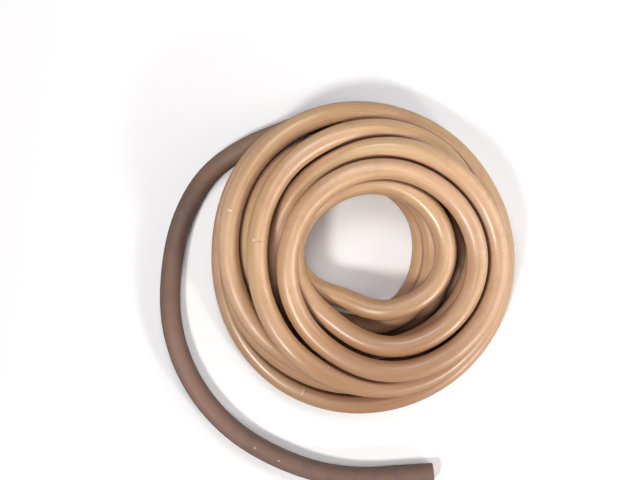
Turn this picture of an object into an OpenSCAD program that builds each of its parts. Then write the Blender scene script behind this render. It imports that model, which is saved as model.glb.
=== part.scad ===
// Rubber gas tubing: one long thick-walled tube, wound by hand into a loose three to four layer
// coil, with one end let out beside it.
// Millimetres, +Z up. The coil lies flat on Z = 0. The origin is the middle of the box that the
// coil and its tail fill, on the floor.

/* [Tube] */
// Bore, the hole that a gas nozzle is pushed into
bore_d = 6; // [5:0.5:8]
// Thickness of the rubber round the bore
wall = 3; // [2:0.25:4]

/* [Free end] */
// Straight length that the free end ends in
end_straight = 22; // [12:1:40]

/* [Lay] */
// How close the turns lie: 1 is rubber on rubber, more is a looser coil
looseness = 1; // [1:0.01:1.15]

/* [Hidden] */
tube_color = [0.72, 0.52, 0.38];

// ---- sizes that follow ----
od = bore_d + 2 * wall;
laid_od = 12;                       // the tube that the stations below are laid for
lay = od / laid_od * looseness;     // and what they grow by for another tube

// ---- how finely the tube is drawn ----
outer_sides = 12;
bore_sides = 8;
rings_a_station = 4;                // rings between two stations of the coil
rings_a_tail_station = 2;

// The turns, counter-clockwise from above and from the inner end outwards. Each row is one turn,
// with a station every 60 degrees, as [radius from the coil's middle, height of the centre line].
// Stacked and neighbouring turns are meant to lie one tube diameter apart. At two spots they are
// nearer, and the skin cuts into a neighbour: near 268 degrees on top, and near 96 degrees low down.
first_angle = 300;
station_step = 60;
turns = [
    [[34.5, 6], [34.5, 6], [45, 6], [54, 6], [53.5, 6], [40.5, 7.6]],                // inner, on the floor
    [[38.4, 17.5], [40.4, 17.05], [46, 18.8], [42.5, 15], [41, 13.6], [25, 22]],     // climbs over it
    [[32, 29.6], [46, 29.75], [47, 31], [43, 27.1], [41.5, 26.3], [39, 30]],         // slack across the eye
    [[54.3, 34], [63.6, 35], [56.4, 39.4], [47, 39.3], [44.5, 39], [52.6, 35]],      // crown
    [[68.5, 35.5], [75.8, 33.8], [69, 39.9], [57.8, 31.5], [52.4, 20], [50.4, 18.2]],  // dives inwards
    [[54, 21], [64, 22.1], [76.8, 29.2], [70.6, 37.7], [61.6, 37.2], [66.3, 37.3]],  // back to the top
    [[77, 23], [79.5, 20], [84.3, 19.2], [86.3, 32.6], [78, 30.6], [69, 25]],        // outer shoulder
    [[60.4, 8.8], [60.3, 10.4], [62.2, 20.6], [73.5, 24.4], [66.5, 25.2], [58.5, 6]],  // under the crown
    [[48.6, 6], [48.3, 6], [58, 6], [67.5, 9], [79, 18.4], [75.6, 11.5]],            // floor, inner
    [[72.5, 6], [72, 6], [70, 10], [88.5, 18.4], [85, 6], [86.8, 6]],                // floor, middle
    [[84.7, 6], [84.4, 6], [85.3, 6], [90, 6]],                                      // floor, outermost
];
before_first = [34.5, 6];             // only steer the first and last stretch
after_last = [105, 6];

// The tail leaves the outermost turn and swings round it on the floor: its distance from the
// coil's middle at even steps.
tail_step = 15.8;
tail_radii = [90, 97, 106, 111, 115, 121, 125.5, 128, 128.5, 129.6, 130];
before_tail = 92;

// The wound length narrows a little at its end and reaches into the rubber of the straight end.
end_neck = 1.5;                     // length that it narrows over
end_lap = 2;                        // how far it reaches in
end_inset = 0.1;                    // how far under the skin and clear of the bore

// ---- the centre line ----
// A smooth curve through four values b and c between their neighbours a and d
function through(a, b, c, d, t) =
    0.5 * (2 * b + (c - a) * t + (2 * a - 5 * b + 4 * c - d) * t * t + (3 * b - a - 3 * c + d) * t * t * t);

function at(angle, radius, height) =
    [lay * radius * cos(angle), lay * radius * sin(angle), max(lay * height, od / 2)];

stations = concat([before_first], [for (turn = turns) for (s = turn) s], [after_last]);
last_station = len(stations) - 3;

function coil_point(i, t) =
    let (s = through(stations[i], stations[i + 1], stations[i + 2], stations[i + 3], t))
    at(first_angle + station_step * (i + t), s[0], s[1]);

coil_line = [for (i = [0 : last_station - 1]) for (k = [0 : rings_a_station - 1])
    coil_point(i, k / rings_a_station)];

tail_angle = first_angle + station_step * last_station;
tail_stations = concat([before_tail], tail_radii, [2 * tail_radii[10] - tail_radii[9]]);
last_tail = len(tail_radii) - 1;

function tail_point(i, t) =
    at(tail_angle + tail_step * (i + t),
       through(tail_stations[i], tail_stations[i + 1], tail_stations[i + 2], tail_stations[i + 3], t),
       laid_od / 2);

tail_line = [for (i = [0 : last_tail - 1]) for (k = [0 : rings_a_tail_station - 1])
    tail_point(i, k / rings_a_tail_station)];

// The straight end goes on the way the tail was going
function unit(v) = v / norm(v);
tail_stop = tail_point(last_tail - 1, 1);
end_way = unit(tail_stop - tail_line[len(tail_line) - 1]);
end_start = tail_stop + end_neck * end_way;
line = concat(coil_line, tail_line, [tail_stop, end_start, end_start + end_lap * end_way]);
last = len(line) - 1;

// ---- the rings ----
function heading(i) = unit(line[min(i + 1, last)] - line[max(i - 1, 0)]);
function side_of(way) = unit([way.y, -way.x, 0]);

function ring(i, radius, sides) =
    let (way = heading(i), side = side_of(way), up = cross(side, way))
    [for (k = [0 : sides - 1])
        line[i] + radius * (cos(360 * k / sides) * side + sin(360 * k / sides) * up)];

function skin_radius(i) = i < last - 1 ? od / 2 : od / 2 - end_inset;
// across their flats the last two bore rings are wider than the exact bore
function hole_radius(i) = i < last - 1 ? bore_d / 2 : (bore_d / 2 + end_inset) / cos(180 / bore_sides);

skin = [for (i = [0 : last]) each ring(i, skin_radius(i), outer_sides)];
hole = [for (i = [0 : last]) each ring(i, hole_radius(i), bore_sides)];

// ---- the box that it fills, which sets the origin ----
xs = [for (p = skin) p.x];
ys = [for (p = skin) p.y];
coil_x = -(min(xs) + max(xs)) / 2;
coil_y = -(min(ys) + max(ys)) / 2;

// ---- faces, clockwise from outside ----
function wall_faces(sides, base, inward) =
    [for (i = [0 : last - 1]) for (k = [0 : sides - 1])
        let (a = base + i * sides + k,
             b = base + i * sides + (k + 1) % sides,
             c = a + sides,
             d = b + sides)
        each (inward ? [[a, c, b], [b, c, d]] : [[a, b, c], [b, d, c]])];

// A flat ring-shaped cut face: each quarter has three outer edges and two bore edges
function cut_face(skin_base, hole_base, far) =
    [for (q = [0 : 3])
        let (o0 = skin_base + 3 * q,
             o1 = o0 + 1,
             o2 = o0 + 2,
             o3 = skin_base + (3 * q + 3) % outer_sides,
             h0 = hole_base + 2 * q,
             h1 = h0 + 1,
             h2 = hole_base + (2 * q + 2) % bore_sides,
             tris = [[o0, o1, h0], [o1, h1, h0], [o1, o2, h1], [o2, o3, h1], [o3, h2, h1]])
        for (f = tris) far ? f : [f[0], f[2], f[1]]];

hole_base = len(skin);

// ---- the piece ----
// The wound length, hollow from end to end
module wound_length() {
    polyhedron(
        points = concat(skin, hole),
        faces = concat(
            wall_faces(outer_sides, 0, false),
            wall_faces(bore_sides, hole_base, true),
            cut_face(0, hole_base, false),
            cut_face(last * outer_sides, hole_base + last * bore_sides, true)),
        convexity = 20);
}

// The straight free end, round outside and in the bore
module free_end() {
    translate(end_start)
        rotate([0, 90, atan2(end_way.y, end_way.x)])
            difference() {
                cylinder(d = od, h = end_straight, $fn = 48);
                translate([0, 0, -1])
                    cylinder(d = bore_d, h = end_straight + 2, $fn = 48);
            }
}

module tubing() {
    color(tube_color)
        translate([coil_x, coil_y, 0]) {
            wound_length();
            free_end();
        }
}

tubing();
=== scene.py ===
"""Looks for the rubber gas tubing: one hollow tube, laid as a loose coil with its tail let out.

The route is the one in part.scad, drawn finer and smoothed, and its sizes are in millimetres as there.
The scene is in metres, in the row frame.
"""

import bpy
import numpy as np
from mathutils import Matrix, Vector


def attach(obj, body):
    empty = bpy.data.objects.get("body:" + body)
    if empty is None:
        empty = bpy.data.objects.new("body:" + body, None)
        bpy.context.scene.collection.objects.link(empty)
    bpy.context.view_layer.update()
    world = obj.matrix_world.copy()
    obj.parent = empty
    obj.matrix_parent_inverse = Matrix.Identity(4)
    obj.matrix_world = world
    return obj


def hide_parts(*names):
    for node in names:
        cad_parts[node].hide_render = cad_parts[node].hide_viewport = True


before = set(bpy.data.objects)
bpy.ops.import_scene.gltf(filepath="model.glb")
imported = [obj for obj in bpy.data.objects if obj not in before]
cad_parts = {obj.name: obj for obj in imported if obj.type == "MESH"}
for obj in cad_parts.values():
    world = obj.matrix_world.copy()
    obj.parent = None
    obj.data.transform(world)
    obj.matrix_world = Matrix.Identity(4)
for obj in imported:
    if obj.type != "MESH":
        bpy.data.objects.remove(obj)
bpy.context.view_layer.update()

MM = 0.001

# ---- the tube, as in part.scad ----
BORE_D = 6.0
WALL = 3.0
OD = BORE_D + 2 * WALL
END_STRAIGHT = 22.0
END_NECK = 1.5
COIL_MIDDLE = np.array([15.681, 21.54, 0.0])  # of the coil, from the middle of the whole hose

FIRST_ANGLE = 300.0
STATION_STEP = 60.0
TURNS = [
    [[34.5, 6], [34.5, 6], [45, 6], [54, 6], [53.5, 6], [40.5, 7.6]],
    [[38.4, 17.5], [40.4, 17.05], [46, 18.8], [42.5, 15], [41, 13.6], [25, 22]],
    [[32, 29.6], [46, 29.75], [47, 31], [43, 27.1], [41.5, 26.3], [39, 30]],
    [[54.3, 34], [63.6, 35], [56.4, 39.4], [47, 39.3], [44.5, 39], [52.6, 35]],
    [[68.5, 35.5], [75.8, 33.8], [69, 39.9], [57.8, 31.5], [52.4, 20], [50.4, 18.2]],
    [[54, 21], [64, 22.1], [76.8, 29.2], [70.6, 37.7], [61.6, 37.2], [66.3, 37.3]],
    [[77, 23], [79.5, 20], [84.3, 19.2], [86.3, 32.6], [78, 30.6], [69, 25]],
    [[60.4, 8.8], [60.3, 10.4], [62.2, 20.6], [73.5, 24.4], [66.5, 25.2], [58.5, 6]],
    [[48.6, 6], [48.3, 6], [58, 6], [67.5, 9], [79, 18.4], [75.6, 11.5]],
    [[72.5, 6], [72, 6], [70, 10], [88.5, 18.4], [85, 6], [86.8, 6]],
    [[84.7, 6], [84.4, 6], [85.3, 6], [90, 6]],
]
BEFORE_FIRST = [34.5, 6]
AFTER_LAST = [105, 6]
TAIL_STEP = 15.8
TAIL_RADII = [90, 97, 106, 111, 115, 121, 125.5, 128, 128.5, 129.6, 130]
BEFORE_TAIL = 92.0

# ---- how finely it is drawn ----
COIL_SUB = 22  # rings between two stations of the coil
TAIL_SUB = 9
SKIN_SIDES = 32
BORE_SIDES = 16  # half as many, which the cut faces count on
CUT_ROUNDING = ((0.0, 0.35), (0.1, 0.1), (0.35, 0.0))  # from the cut: distance, and what the corner loses

# ---- the tube's map: its length is cut into strips, and the two cut faces share a column at the right ----
MAP_STRIPS = 9
MAP_BORE_FROM = 1.03  # of the skin's height, where the bore's part of a strip starts
MAP_STRIP_TALL = 1.06  # of skin and bore together, so that a gap stays above each strip
MAP_LEFT = 0.002
MAP_WIDE = 0.97
MAP_CUTS_LEFT, MAP_CUTS_WIDE = 0.985, 0.012
MAP_CUTS_LOW, MAP_CUTS_TALL = 0.1, 0.5  # for a metre of the row frame

# ---- where shade is painted between turns, from creases and the sky that other turns hide, in mm ----
OWN_STRETCH = 60.0  # length along the tube that counts as the same turn
CREASE_REACH = 2 * OD
SKY_REACH = 2.5 * OD
SKY_SOFT = 1.0  # either side of a turn's edge, over which it stops hiding the sky
CREASE_WIDE, CREASE_TIGHT = 3.5, 0.3  # distance to the next turn at which a crease starts and is full
SKY_ROWS = ((75, 6), (48, 8), (22, 8))  # degrees up, and how many ways are looked along there

# ---- marks on the rubber: metres from the inner end, degrees round from the outer side, then its size
# round the tube and along it in mm, and how strongly it shows ----
PALE_MARKS = [
    (0.873, 78, 5.0, 0.9, 0.22),
    (1.232, 72, 0.9, 1.4, 0.50),
    (1.810, 72, 1.5, 1.5, 0.90),
    (1.899, 140, 1.6, 0.9, 0.55),
    (2.281, 78, 3.6, 1.3, 0.80),
    (3.557, 30, 1.7, 1.6, 0.85),
    (3.689, 98, 6.0, 1.5, 0.30),
    (4.279, 88, 1.3, 1.6, 0.45),
    (4.295, 86, 1.2, 1.4, 0.50),
]
DARK_MARKS = [
    (1.8105, 104, 4.6, 0.8, 0.40),
    (3.6903, 104, 4.4, 1.0, 0.35),
    (4.2960, 118, 6.0, 0.9, 0.50),
]

# ---- rubber colours, linear ----
TAN = (0.548, 0.322, 0.170)
TAN_LIGHT = (0.690, 0.438, 0.258)
TAN_BROWN_AND_PAINTED_SHADE = (0.372, 0.190, 0.092)
TAN_OLIVE = (0.545, 0.360, 0.158)
TAN_PINK = (0.605, 0.356, 0.248)
TAIL_BROWN = (0.138, 0.066, 0.046)
TAIL_DARK_AND_PAINTED_SHADE = (0.080, 0.046, 0.042)
TAIL_FADED = (0.225, 0.112, 0.083)
NICK_PALE = (0.850, 0.690, 0.520)
CUT_TAN = (0.520, 0.300, 0.170)
# the next three are painted shade for creases and sheltered places; the second also colours the dark marks
CREASE_PAINTED_SHADE = (0.085, 0.021, 0.009)
DARK_MARK_AND_PAINTED_SHADE = (0.085, 0.022, 0.012)
SHADE_PINK = (0.400, 0.205, 0.135)
WHITE = (0.96, 0.97, 1.00)
DULL = (0.38, 0.37, 0.38)
FILL = (0.90, 0.88, 1.00)
FILL_STRENGTH = 0.06
CEILING = (0.16, 0.16, 0.18)

# ---- where shade is painted browner on the coil: the place, how far round it that is full, how far out it is gone,
# all in metres, and how strongly it shows ----
PAINTED_SHADE_SIDES = [
    ((0.032, -0.050, 0.030), 0.025, 0.085, 0.96),
    ((-0.042, -0.046, 0.020), 0.010, 0.060, 0.66),
    ((-0.038, 0.090, 0.020), 0.010, 0.065, 0.42),
    ((0.012, 0.118, 0.010), 0.015, 0.045, 0.55),
]
# ---- where the tail has faded, and how far along the tube the tail's brown comes in, in metres ----
FADED_TAIL = (-0.078, -0.040, 0.006)
TAIL_BROWN_FROM, TAIL_BROWN_FULL = 3.92, 4.12

# ---- the camera: over the coil, looking straight down ----
CAMERA_OVER = np.array([-26.0, 12.0, 560.0])  # mm from the coil's middle
CAMERA_LENS = 52.15
CAMERA_SENSOR = 36.0


# ---- the centre line ----
def through(a, b, c, d, t):
    """A smooth curve through b and c, between their neighbours a and d."""
    cubic = 3 * b - a - 3 * c + d
    return 0.5 * (2 * b + (c - a) * t + (2 * a - 5 * b + 4 * c - d) * t**2 + cubic * t**3)


def at(angle, radius, height):
    turn = np.radians(angle)
    return np.array([radius * np.cos(turn), radius * np.sin(turn), max(height, OD / 2)])


def smooth(points):
    """Rubber has no sharp change of slope, so each point is drawn towards its neighbours' mean."""
    for _ in range(6):
        inner = (points[:-2] + 2 * points[1:-1] + points[2:]) / 4
        points = np.vstack([points[:1], inner, points[-1:]])
    points[:, 2] = np.maximum(points[:, 2], OD / 2)
    return points


def coil_points():
    rows = np.array([BEFORE_FIRST] + [s for turn in TURNS for s in turn] + [AFTER_LAST], float)
    last = len(rows) - 3
    points = []
    for i in range(last):
        for k in range(COIL_SUB):
            radius, height = through(*rows[i : i + 4], k / COIL_SUB)
            points.append(at(FIRST_ANGLE + STATION_STEP * (i + k / COIL_SUB), radius, height))
    return points, FIRST_ANGLE + STATION_STEP * last


def tail_points(start):
    radii = [BEFORE_TAIL] + TAIL_RADII + [2 * TAIL_RADII[-1] - TAIL_RADII[-2]]
    last = len(TAIL_RADII) - 1

    def tail_at(i, t):
        return at(start + TAIL_STEP * (i + t), through(*radii[i : i + 4], t), OD / 2)

    points = [tail_at(i, k / TAIL_SUB) for i in range(last) for k in range(TAIL_SUB)]
    stop = tail_at(last - 1, 1)
    way = stop - tail_at(last - 1, 0.5)
    return points + [stop], way / np.linalg.norm(way)


def centre_line():
    """The whole route in mm in the row frame, with close points at both cuts for their rounded edges."""
    coil, tail_start = coil_points()
    tail, end_way = tail_points(tail_start)
    line = smooth(np.array(coil + tail))
    start_way = (line[1] - line[0]) / np.linalg.norm(line[1] - line[0])
    first = [line[0] + start_way * d for d, _ in CUT_ROUNDING]
    straight = END_NECK + END_STRAIGHT
    steps = list(np.arange(1.5, straight - 1, 1.5)) + [straight - d for d, _ in reversed(CUT_ROUNDING)]
    end = [line[-1] + end_way * d for d in steps]
    return np.vstack([first, line[1:], end]) + COIL_MIDDLE


def frames(line):
    """Unit vectors along the tube, level out of it, and up from it."""
    way = np.gradient(line, axis=0)
    way /= np.linalg.norm(way, axis=1)[:, None]
    side = np.stack([way[:, 1], -way[:, 0], np.zeros(len(way))], axis=1)
    side /= np.linalg.norm(side, axis=1)[:, None]
    return side, np.cross(side, way)


def lengths(line):
    return np.concatenate([[0], np.cumsum(np.linalg.norm(np.diff(line, axis=0), axis=1))])


# ---- the tube's mesh ----
def rings(line, radius, sides):
    side, up = frames(line)
    turn = np.linspace(0, 2 * np.pi, sides, endpoint=False)
    out = np.cos(turn)[None, :, None] * side[:, None] + np.sin(turn)[None, :, None] * up[:, None]
    return line[:, None] + radius[:, None, None] * out


def cut_rounding(count):
    """What the radius loses at each ring: only the corners of the two cuts are rounded."""
    loss = np.zeros(count)
    for k, (_, lost) in enumerate(CUT_ROUNDING):
        loss[k] = loss[count - 1 - k] = lost
    return loss


def wall_quads(count, sides, base, inward):
    i, k = np.meshgrid(np.arange(count - 1), np.arange(sides), indexing="ij")
    a = base + i * sides + k
    b = base + i * sides + (k + 1) % sides
    quads = np.stack([a, b, b + sides, a + sides], axis=-1).reshape(-1, 4)
    return quads[:, ::-1] if inward else quads


def cut_tris(skin_base, bore_base, near):
    tris = []
    for k in range(BORE_SIDES):
        o0, o1, o2 = (skin_base + (2 * k + j) % SKIN_SIDES for j in range(3))
        h0, h1 = bore_base + k, bore_base + (k + 1) % BORE_SIDES
        tris += [(o0, o1, h0), (o1, h1, h0), (o1, o2, h1)]
    return [t[::-1] for t in tris] if near else tris


def turns_near(line, length, i, reach):
    """The points of the route near ring i that belong to other turns."""
    other = np.abs(length - length[i]) > OWN_STRETCH
    return line[other & (np.abs(line - line[i]).max(axis=1) < reach)]


def creases(line, length, skin):
    """1 where a skin point all but touches another turn, 0 where nothing is near."""
    near = np.zeros(skin.shape[:2])
    for i, ring in enumerate(skin):
        others = turns_near(line, length, i, CREASE_REACH)
        if len(others):
            away = np.linalg.norm(ring[:, None] - others[None], axis=2).min(axis=1) - OD / 2
            near[i] = np.clip((CREASE_WIDE - away) / (CREASE_WIDE - CREASE_TIGHT), 0, 1)
    return near


def sheltered(line, length, skin):
    """How much of the sky each skin point loses to the other turns, from 0 to 1."""
    lost = np.zeros(skin.shape[:2])
    sky = [(a, up) for up, count in SKY_ROWS for a in np.arange(count) * 360 / count + up]
    sky = [(np.radians(a), np.radians(up)) for a, up in sky]
    ways = np.array([(np.cos(up) * np.cos(a), np.cos(up) * np.sin(a), np.sin(up)) for a, up in sky])
    weights = ways[:, 2] / ways[:, 2].sum()
    for i, ring in enumerate(skin):
        others = turns_near(line, length, i, SKY_REACH)
        if len(others):
            apart = others[None] - ring[:, None]
            ahead = apart @ ways.T
            aside = np.sqrt(np.maximum((apart**2).sum(axis=2)[:, :, None] - ahead**2, 0))
            hidden = np.clip((OD / 2 + SKY_SOFT - aside) / (2 * SKY_SOFT), 0, 1) * (ahead > 0)
            lost[i] = hidden.max(axis=1) @ weights
    return lost


def strip_map(mesh, walls, count, length):
    """The map of skin and bore, strip above strip, with no two faces on one place."""
    uv = mesh.uv_layers.new(name="OFBake")
    strip = length[-1] / MAP_STRIPS
    tall = {True: np.pi * OD, False: np.pi * BORE_D}
    height = (tall[True] + tall[False]) * MAP_STRIPS * MAP_STRIP_TALL
    coords = []
    for sides, skin in walls:
        i, k = np.meshgrid(np.arange(count - 1), np.arange(sides), indexing="ij")
        row = np.minimum((length[:-1] / strip).astype(int), MAP_STRIPS - 1)[i]
        base = row / MAP_STRIPS + (0 if skin else tall[True] * MAP_BORE_FROM / height)
        low = base + tall[skin] * k / sides / height
        high = base + tall[skin] * (k + 1) / sides / height
        near = MAP_LEFT + (length[:-1][i] - row * strip) / strip * MAP_WIDE
        far = MAP_LEFT + (length[1:][i] - row * strip) / strip * MAP_WIDE
        corner = [(near, low), (near, high), (far, high), (far, low)]
        if not skin:
            corner = corner[::-1]
        coords.append(np.stack([np.stack(c, axis=-1) for c in corner], axis=-2).reshape(-1, 2))
    walls_uv = np.vstack(coords)
    flat = np.zeros((len(mesh.loops), 2))
    flat[: len(walls_uv)] = walls_uv
    return uv, flat, len(walls_uv)


def tube_mesh():
    line = centre_line()
    length = lengths(line)
    count = len(line)
    loss = cut_rounding(count)
    skin = rings(line, OD / 2 - loss, SKIN_SIDES)
    bore = rings(line, BORE_D / 2 + loss, BORE_SIDES)
    bore_base = count * SKIN_SIDES
    verts = np.vstack([skin.reshape(-1, 3), bore.reshape(-1, 3)]) * MM
    quads = np.vstack([
        wall_quads(count, SKIN_SIDES, 0, False),
        wall_quads(count, BORE_SIDES, bore_base, True),
    ])
    far_skin, far_bore = (count - 1) * SKIN_SIDES, bore_base + (count - 1) * BORE_SIDES
    cuts = cut_tris(0, bore_base, True) + cut_tris(far_skin, far_bore, False)

    mesh = bpy.data.meshes.new("tubing_rubber")
    mesh.from_pydata(verts.tolist(), [], quads.tolist() + cuts)
    mesh.update()
    on_map, flat, walls = strip_map(mesh, ((SKIN_SIDES, True), (BORE_SIDES, False)), count, length)
    cut_loops = np.array([v for t in cuts for v in t])
    place = verts[cut_loops] / MM
    level = (place[:, 1] - place[:, 1].min()) / 1000
    flat[walls:, 0] = MAP_CUTS_LEFT + (place[:, 2] / OD) * MAP_CUTS_WIDE
    flat[walls:, 1] = MAP_CUTS_LOW + level * MAP_CUTS_TALL
    on_map.data.foreach_set("uv", flat.ravel())

    turn = [np.tile(np.linspace(0, 2 * np.pi, n, endpoint=False), count) for n in (SKIN_SIDES, BORE_SIDES)]
    turn = np.concatenate(turn)
    far = np.concatenate([np.repeat(length, n) for n in (SKIN_SIDES, BORE_SIDES)]) * MM
    lay = mesh.attributes.new("tube_lay", "FLOAT_VECTOR", "POINT")
    lay.data.foreach_set("vector", np.stack([np.cos(turn), np.sin(turn), far], axis=1).ravel())
    for name, on_skin in (("tube_crease", creases), ("tube_shelter", sheltered)):
        values = np.concatenate([on_skin(line, length, skin).ravel(), np.zeros(count * BORE_SIDES)])
        mesh.attributes.new(name, "FLOAT", "POINT").data.foreach_set("value", values)
    mesh.polygons.foreach_set("use_smooth", [True] * len(quads) + [False] * len(cuts))
    mesh.polygons.foreach_set("material_index", [0] * len(quads) + [1] * len(cuts))
    return mesh, line * MM, length[-1] * MM


# ---- node helpers ----
class Nodes:
    """A small writer of shader nodes: each call makes a node, joins its inputs and gives its output back."""

    def __init__(self, name, world=False):
        self.owner = (bpy.data.worlds if world else bpy.data.materials).new(name)
        self.owner.use_nodes = True
        self.tree = self.owner.node_tree
        self.shader = self.tree.nodes["Background" if world else "Principled BSDF"]

    def make(self, kind, settings=None, inputs=None, output=0):
        node = self.tree.nodes.new(kind)
        for key, value in (settings or {}).items():
            setattr(node, key, value)
        for key, value in (inputs or {}).items():
            self.join(node.inputs[key], value)
        return node.outputs[output]

    def join(self, socket, value):
        if isinstance(value, bpy.types.NodeSocket):
            self.tree.links.new(value, socket)
        elif hasattr(value, "__len__") and len(value) == 3 and socket.type == "RGBA":
            socket.default_value = (*value, 1)
        else:
            socket.default_value = value

    def noise(self, vector, scale, detail=2.0, roughness=0.5):
        inputs = {"Vector": vector, "Scale": scale, "Detail": detail, "Roughness": roughness}
        return self.make("ShaderNodeTexNoise", inputs=inputs)

    def remap(self, value, low, high, to_low=0.0, to_high=1.0):
        inputs = {"Value": value, "From Min": low, "From Max": high, "To Min": to_low, "To Max": to_high}
        return self.make("ShaderNodeMapRange", {"interpolation_type": "SMOOTHSTEP"}, inputs)

    def mix(self, factor, a, b):
        return self.make("ShaderNodeMix", {"data_type": "RGBA"}, {0: factor, 6: a, 7: b}, 2)

    def math(self, operation, a, b=0.0):
        return self.make("ShaderNodeMath", {"operation": operation}, {0: a, 1: b})

    def vector(self, operation, a, b, output=0):
        return self.make("ShaderNodeVectorMath", {"operation": operation}, {0: a, 1: b}, output)

    def add(self, a, b):
        return self.math("ADD", a, b)

    def distance(self, a, b):
        return self.vector("DISTANCE", a, b, "Value")

    def length(self, a):
        return self.make("ShaderNodeVectorMath", {"operation": "LENGTH"}, {0: a}, "Value")

    def attribute(self, name, output):
        return self.make("ShaderNodeAttribute", {"attribute_name": name}, output=output)

    def bump(self, height, strength, distance, normal=None):
        inputs = {"Strength": strength, "Distance": distance, "Height": height}
        if normal is not None:
            inputs["Normal"] = normal
        return self.make("ShaderNodeBump", inputs=inputs, output="Normal")


def mark_on(nodes, lay, far, turn, wide, long, strength):
    """The strength inside a small mark on the skin, and 0 outside it."""
    angle = np.radians(turn)
    middle = (np.cos(angle), np.sin(angle), far)
    stretch = (OD / wide, OD / wide, 2 / (long * MM))
    apart = nodes.vector("MULTIPLY", nodes.vector("SUBTRACT", lay, middle), stretch)
    return nodes.remap(nodes.length(apart), 0.6, 1.1, strength, 0.0)


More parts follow.
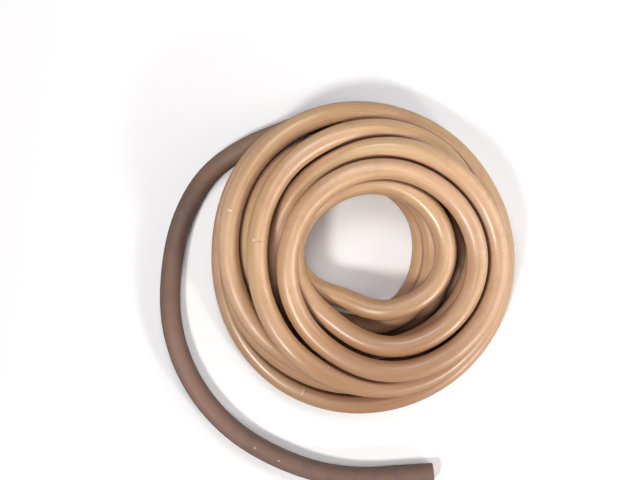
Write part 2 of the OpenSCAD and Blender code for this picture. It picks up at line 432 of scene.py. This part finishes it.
def rubber_skin():
    nodes = Nodes("Tan rubber skin")
    lay = nodes.attribute("tube_lay", "Vector")
    upper = nodes.make("ShaderNodeSeparateXYZ", inputs={"Vector": lay}, output="Y")
    far = nodes.make("ShaderNodeSeparateXYZ", inputs={"Vector": lay}, output="Z")
    place = nodes.make("ShaderNodeTexCoord", output="Object")

    # drawn lines along the tube, as an extruder leaves them
    streaks = nodes.noise(nodes.vector("MULTIPLY", lay, (7.0, 7.0, 9.0)), 1.0, 4.0, 0.6)
    stripes = nodes.noise(nodes.vector("MULTIPLY", lay, (3.2, 3.2, 5.0)), 1.0, 3.0, 0.6)
    bands = nodes.noise(nodes.vector("MULTIPLY", lay, (1.3, 1.3, 22.0)), 1.0, 2.0)
    clouds = nodes.noise(place, 28.0, 3.0, 0.55)
    patches = nodes.noise(nodes.vector("MULTIPLY", lay, (1.0, 1.0, 7.0)), 1.0, 2.0)
    mottle = nodes.noise(place, 105.0, 3.0, 0.6)
    grain = nodes.noise(place, 900.0, 2.0, 0.6)

    color = nodes.mix(nodes.remap(bands, 0.30, 0.72), TAN, TAN_LIGHT)
    color = nodes.mix(nodes.remap(patches, 0.50, 0.64, 0.0, 0.78), color, TAN_OLIVE)
    color = nodes.mix(nodes.remap(patches, 0.49, 0.34, 0.0, 0.78), color, TAN_PINK)
    color = nodes.mix(nodes.remap(clouds, 0.48, 0.75, 0.0, 0.35), color, TAN_BROWN_AND_PAINTED_SHADE)
    color = nodes.mix(nodes.remap(stripes, 0.52, 0.72, 0.0, 0.50), color, TAN_OLIVE)
    color = nodes.mix(nodes.remap(stripes, 0.46, 0.30, 0.0, 0.55), color, TAN_LIGHT)
    color = nodes.mix(nodes.remap(streaks, 0.50, 0.78, 0.0, 0.55), color, TAN_BROWN_AND_PAINTED_SHADE)
    color = nodes.mix(nodes.remap(streaks, 0.46, 0.22, 0.0, 0.40), color, TAN_LIGHT)
    color = nodes.mix(nodes.remap(mottle, 0.50, 0.70, 0.0, 0.22), color, TAN_BROWN_AND_PAINTED_SHADE)
    color = nodes.mix(nodes.remap(grain, 0.55, 0.80, 0.0, 0.16), color, TAN_BROWN_AND_PAINTED_SHADE)
    # painted shade: browner patches where the coil lies in shade
    for middle, full, gone, strength in PAINTED_SHADE_SIDES:
        painted_shade = nodes.remap(nodes.distance(place, middle), full, gone, strength, 0.0)
        color = nodes.mix(painted_shade, color, TAN_BROWN_AND_PAINTED_SHADE)
    # the tail: mottled purple brown, faded warmer at one place, with painted shade darkening it away from
    # its upper side
    tail = nodes.mix(nodes.remap(mottle, 0.35, 0.62, 0.25, 1.0), TAIL_DARK_AND_PAINTED_SHADE, TAIL_BROWN)
    faded = nodes.remap(nodes.distance(place, FADED_TAIL), 0.020, 0.070, 0.70, 0.0)
    tail = nodes.mix(faded, tail, TAIL_FADED)
    tail = nodes.mix(nodes.remap(upper, 0.95, 0.30, 0.0, 0.85), tail, TAIL_DARK_AND_PAINTED_SHADE)
    late = nodes.remap(far, TAIL_BROWN_FROM, TAIL_BROWN_FULL)
    color = nodes.mix(nodes.math("MULTIPLY", late, 0.94), color, tail)
    # painted shade between the turns: darker in the creases and where other turns hide the sky
    crease = nodes.attribute("tube_crease", "Fac")
    shelter = nodes.attribute("tube_shelter", "Fac")
    color = nodes.mix(nodes.remap(crease, 0.26, 0.80, 0.0, 0.95), color, CREASE_PAINTED_SHADE)
    color = nodes.mix(nodes.remap(shelter, 0.32, 0.60, 0.0, 0.50), color, SHADE_PINK)
    color = nodes.mix(nodes.remap(shelter, 0.60, 0.92, 0.0, 0.95), color, DARK_MARK_AND_PAINTED_SHADE)
    for mark in PALE_MARKS:
        color = nodes.mix(mark_on(nodes, lay, *mark), color, NICK_PALE)
    for mark in DARK_MARKS:
        color = nodes.mix(mark_on(nodes, lay, *mark), color, DARK_MARK_AND_PAINTED_SHADE)

    rough = nodes.remap(streaks, 0.25, 0.75, 0.30, 0.42)
    rough = nodes.add(rough, nodes.remap(clouds, 0.35, 0.70, -0.04, 0.08))
    rough = nodes.add(rough, nodes.math("MULTIPLY", late, 0.30))
    rough = nodes.add(rough, nodes.math("MULTIPLY", crease, 0.60))
    rough = nodes.add(rough, nodes.remap(shelter, 0.40, 0.75, 0.0, 0.50))
    edge_on = nodes.make("ShaderNodeLayerWeight", inputs={"Blend": 0.5}, output="Facing")
    rough = nodes.add(rough, nodes.remap(edge_on, 0.45, 0.85, 0.0, 0.60))
    lines = nodes.bump(streaks, 0.25, 0.00008)
    surface = nodes.bump(grain, 0.3, 0.00003, lines)
    shader = nodes.shader.inputs
    nodes.join(shader["Base Color"], color)
    nodes.join(shader["Roughness"], rough)
    nodes.join(shader["Normal"], surface)
    nodes.join(shader["IOR"], 1.70)
    return nodes.owner


def rubber_cut():
    nodes = Nodes("Tan rubber cut face")
    place = nodes.make("ShaderNodeTexCoord", output="Object")
    drag = nodes.noise(nodes.vector("MULTIPLY", place, (300.0, 300.0, 3000.0)), 1.0, 3.0)
    nodes.join(nodes.shader.inputs["Base Color"], nodes.mix(nodes.remap(drag, 0.3, 0.7), CUT_TAN, TAN))
    nodes.join(nodes.shader.inputs["Roughness"], 0.62)
    nodes.join(nodes.shader.inputs["Normal"], nodes.bump(drag, 0.4, 0.00005))
    return nodes.owner


# ---- stage ----
def seen_by_eye(nodes):
    """1 for what the camera sees, straight, mirrored or through glass, and 0 for light on things."""
    rays = nodes.tree.nodes.new("ShaderNodeLightPath").outputs
    seen = nodes.math("MAXIMUM", rays["Is Camera Ray"], rays["Is Glossy Ray"])
    return nodes.math("MAXIMUM", seen, rays["Is Transmission Ray"])


def pale_table():
    """White to the eye, with the shadow kept, and fading far out into the white backdrop.

    It throws less light back than it shows, so that the gaps between turns stay dark.
    """
    nodes = Nodes("Pale table")
    seen = seen_by_eye(nodes)
    place = nodes.make("ShaderNodeTexCoord", output="Object")
    out = nodes.length(place)
    nodes.join(nodes.shader.inputs["Base Color"], nodes.mix(seen, DULL, WHITE))
    nodes.join(nodes.shader.inputs["Emission Color"], (1.0, 1.0, 1.0))
    glow = nodes.math("MULTIPLY", seen, nodes.remap(out, 0.20, 0.80))
    nodes.join(nodes.shader.inputs["Emission Strength"], glow)
    nodes.join(nodes.shader.inputs["Roughness"], 0.9)
    nodes.join(nodes.shader.inputs["Specular IOR Level"], 0.0)
    return nodes.owner


def make_floor():
    half = 3.0
    mesh = bpy.data.meshes.new("floor")
    corners = [(-half, -half, 0), (half, -half, 0), (half, half, 0), (-half, half, 0)]
    mesh.from_pydata(corners, [], [(0, 1, 2, 3)])
    floor = bpy.data.objects.new("floor", mesh)
    mesh.materials.append(pale_table())
    bpy.context.collection.objects.link(floor)


def make_light(name, place, aim, size, power, color=(1, 1, 1)):
    lamp = bpy.data.lights.new(name, "AREA")
    lamp.shape = "DISK"
    lamp.size = size
    lamp.energy = power
    lamp.color = color
    light = bpy.data.objects.new(name, lamp)
    light.location = place
    away = np.array(place, float) - np.array(aim, float)
    light.rotation_mode = "QUATERNION"
    light.rotation_quaternion = Vector(away).to_track_quat("Z", "Y")
    bpy.context.collection.objects.link(light)


def make_lights():
    make_light("left", (-0.46, -0.46, 1.00), (0.0, 0.0, 0.02), 0.24, 7.6, (1.0, 0.97, 0.92))
    make_light("right", (0.44, 0.02, 0.26), (0.0, 0.0, 0.02), 0.42, 1.15, (1.0, 0.97, 0.95))
    make_light("behind", (-0.04, 0.24, 0.38), (0.0, 0.03, 0.02), 0.18, 0.62, (1.0, 0.98, 0.97))
    make_light("front right", (0.76, -0.72, 0.50), (0.0, 0.0, 0.02), 0.16, 4.9, (1.0, 0.97, 0.92))
    make_light("overhead", (0.0, 0.02, 1.6), (0.0, 0.0, 0.0), 0.6, 2.5)


def make_backdrop():
    """White all round to the eye, darker overhead as a room is, and only a weak fill light on the rubber."""
    nodes = Nodes("studio", world=True)
    seen = seen_by_eye(nodes)
    way = nodes.make("ShaderNodeTexCoord", output="Generated")
    height = nodes.make("ShaderNodeSeparateXYZ", inputs={"Vector": way}, output="Z")
    shown = nodes.mix(nodes.remap(height, 0.45, 0.80), (1.0, 1.0, 1.0), CEILING)
    nodes.join(nodes.shader.inputs["Color"], nodes.mix(seen, FILL, shown))
    nodes.join(nodes.shader.inputs["Strength"], nodes.math("MAXIMUM", seen, FILL_STRENGTH))
    bpy.context.scene.world = nodes.owner


def make_camera():
    data = bpy.data.cameras.new("camera")
    data.sensor_width = CAMERA_SENSOR
    data.lens = CAMERA_LENS
    data.clip_start, data.clip_end = 0.01, 20
    camera = bpy.data.objects.new("camera", data)
    camera.location = (COIL_MIDDLE + CAMERA_OVER) * MM
    bpy.context.collection.objects.link(camera)
    bpy.context.scene.camera = camera


# ---- the scene ----
make_camera()
mesh, route, tube_length = tube_mesh()
mesh.materials.append(rubber_skin())
mesh.materials.append(rubber_cut())
tube = bpy.data.objects.new("tubing_rubber", mesh)
bpy.context.collection.objects.link(tube)
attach(tube, "root")
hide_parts("tubing")
make_floor()
make_lights()
make_backdrop()
bpy.context.scene.view_settings.view_transform = "Standard"
